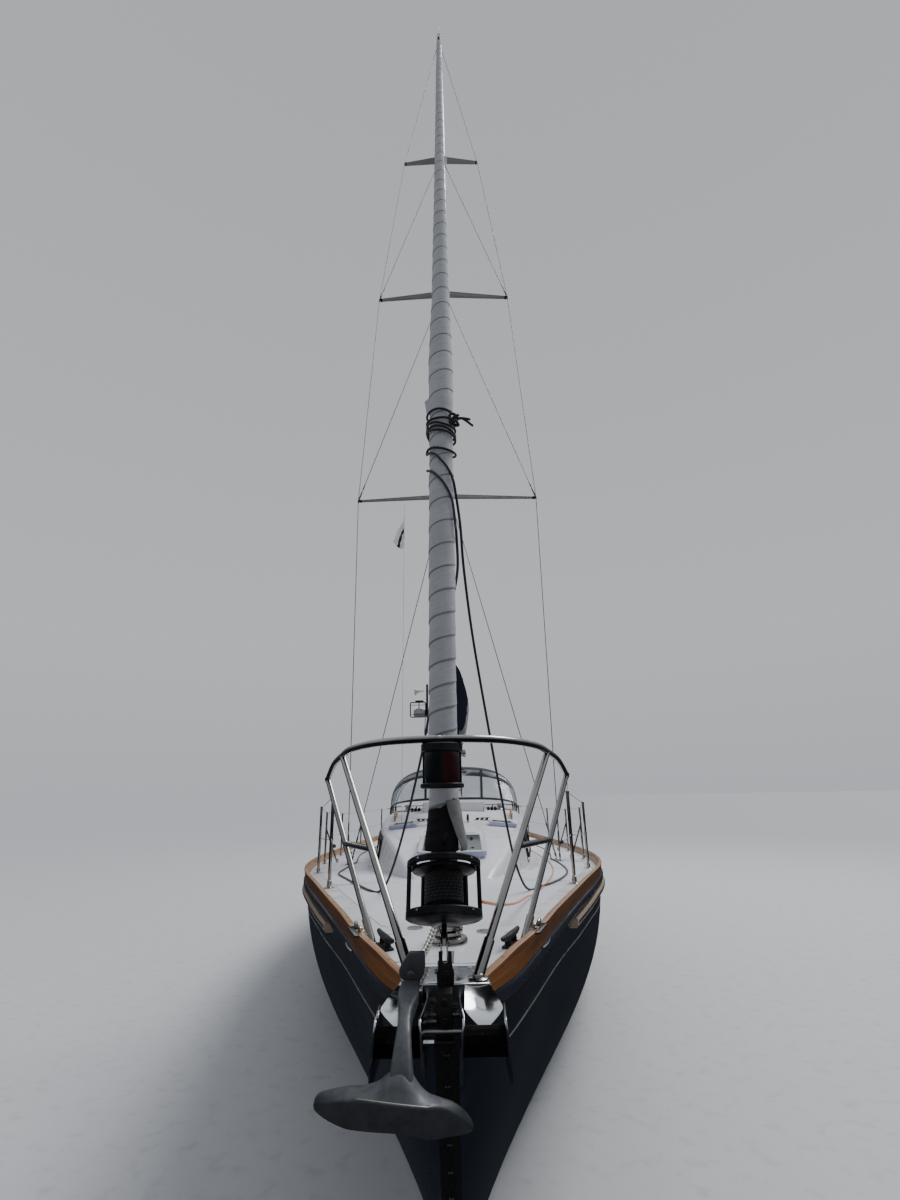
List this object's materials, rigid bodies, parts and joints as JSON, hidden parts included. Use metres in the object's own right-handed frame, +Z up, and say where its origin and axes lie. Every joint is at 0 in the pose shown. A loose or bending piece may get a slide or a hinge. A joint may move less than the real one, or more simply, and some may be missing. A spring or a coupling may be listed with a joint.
{
  "type": "sailing yacht",
  "caption": "Sloop-rigged cruising yacht afloat: navy hull, teak rails, furled genoa on a stay, bow rollers with claw anchor, pulpit, spreaders, dodger and wheel.",
  "frame": {"origin": "amidships on the centreline, in the plane of the waterline", "axes": "+X to port, +Y aft, +Z up the mast"},
  "size_m": [3.898, 13.009, 19.01],
  "materials": {
    "gelcoat_navy": "polished, near mirror",
    "gelcoat_white": "satin with moulded non-slip panels",
    "antifouling": "matt bottom paint",
    "teak": "varnished and weathered",
    "stainless": "polished tube and plate",
    "galvanised": "hot dip galvanised",
    "spar": "off-white paint",
    "black_alloy": "black anodised",
    "sailcloth": "white cover cloth, wrapped",
    "canvas_navy": "woven acrylic canvas",
    "smoked_acrylic": "smoked acrylic",
    "bronze": "seawater bronze",
    "black_rubber": "smooth",
    "engine_paint": "plain paint"
  },
  "bodies": {
    "root": {"hull": "gelcoat_navy", "keel": "antifouling", "shaft_strut": "bronze", "engine": "engine_paint", "cockpit_tub": "gelcoat_white", "coachroof": "gelcoat_white", "port_cabin_window": "smoked_acrylic", "starboard_cabin_window": "smoked_acrylic", "port_toe_rail": "teak", "starboard_toe_rail": "teak", "port_rub_rail": "teak", "starboard_rub_rail": "teak", "washboards": "teak", "port_handrail": "teak", "starboard_handrail": "teak", "cockpit_coamings": "gelcoat_white", "steering_pedestal": "stainless", "port_winch": "stainless", "starboard_winch": "stainless", "dodger_frame": "stainless", "dodger_canopy": "canvas_navy", "bow_fitting": "stainless", "starboard_anchor_roller": "black_rubber", "port_anchor_roller": "black_rubber", "anchor": "galvanised", "windlass": "stainless", "port_bow_cleat": "black_alloy", "starboard_bow_cleat": "black_alloy", "pulpit": "stainless", "nav_light": "black_alloy", "pushpit": "stainless", "port_lifelines": "stainless", "starboard_lifelines": "stainless", "mast": "spar", "lower_spreaders": "spar", "middle_spreaders": "spar", "upper_spreaders": "spar", "forestay": "stainless", "furler_cage": "black_alloy", "backstay": "stainless", "port_cap_shroud": "stainless", "starboard_cap_shroud": "stainless", "port_lower_shroud": "stainless", "starboard_lower_shroud": "stainless"},
    "rudder": {"rudder": "antifouling"},
    "propeller": {"propeller": "bronze"},
    "forward_hatch": {"forward_hatch": "smoked_acrylic"},
    "port_hatch": {"port_hatch": "smoked_acrylic"},
    "starboard_hatch": {"starboard_hatch": "smoked_acrylic"},
    "companionway_hatch": {"companionway_hatch": "gelcoat_white"},
    "port_locker_lid": {"port_locker_lid": "teak"},
    "starboard_locker_lid": {"starboard_locker_lid": "teak"},
    "steering_wheel": {"steering_wheel": "stainless"},
    "boom": {"boom": "spar", "sail_cover": "canvas_navy"},
    "furler": {"furled_genoa": "sailcloth", "furler_drum": "black_alloy"}
  },
  "joints": [
    {"name": "rudder_turn", "type": "hinge", "parent": "root", "child": "rudder", "pos_m": [0, 5.33, -0.5], "axis": [0, 0, 1], "range_deg": [-35, 35]},
    {"name": "wheel_turn", "type": "hinge", "parent": "root", "child": "steering_wheel", "pos_m": [0, 4.72, 1.33], "axis": [0, -1, 0], "range_deg": [-350, 350]},
    {"name": "propeller_spin", "type": "hinge", "parent": "root", "child": "propeller", "pos_m": [0, 4.54, -0.5], "axis": [0, 0.9833, -0.1819], "continuous": true},
    {"name": "forward_hatch_hinge", "type": "hinge", "parent": "root", "child": "forward_hatch", "pos_m": [0, -3.2484, 1.591], "axis": [1, 0, 0], "range_deg": [0, 95]},
    {"name": "port_hatch_hinge", "type": "hinge", "parent": "root", "child": "port_hatch", "pos_m": [0.5488, -1.6598, 1.7364], "axis": [0.996, 0, -0.0899], "range_deg": [0, 85]},
    {"name": "starboard_hatch_hinge", "type": "hinge", "parent": "root", "child": "starboard_hatch", "pos_m": [-0.5488, -1.6598, 1.7364], "axis": [0.996, 0, 0.0899], "range_deg": [0, 85]},
    {"name": "companionway_slide", "type": "slide", "parent": "root", "child": "companionway_hatch", "axis": [0, -1, 0], "range_m": [0, 0.61]},
    {"name": "port_locker_hinge", "type": "hinge", "parent": "root", "child": "port_locker_lid", "pos_m": [0.894, 3.525, 1.216], "axis": [0, 1, 0], "range_deg": [0, 85]},
    {"name": "starboard_locker_hinge", "type": "hinge", "parent": "root", "child": "starboard_locker_lid", "pos_m": [-0.894, 3.525, 1.216], "axis": [0, -1, 0], "range_deg": [0, 85]},
    {"name": "boom_swing", "type": "hinge", "parent": "root", "child": "boom", "pos_m": [0, -1.1, 2.76], "axis": [0, 0, 1], "range_deg": [-45, 45]},
    {"name": "furler_turn", "type": "hinge", "parent": "root", "child": "furler", "pos_m": [0, -6.37, 1.575], "axis": [0, 0.3262, 0.9453], "continuous": true}
  ],
  "couplings": [
    {"joint": "wheel_turn", "follows": "rudder_turn", "ratio": 10}
  ]
}
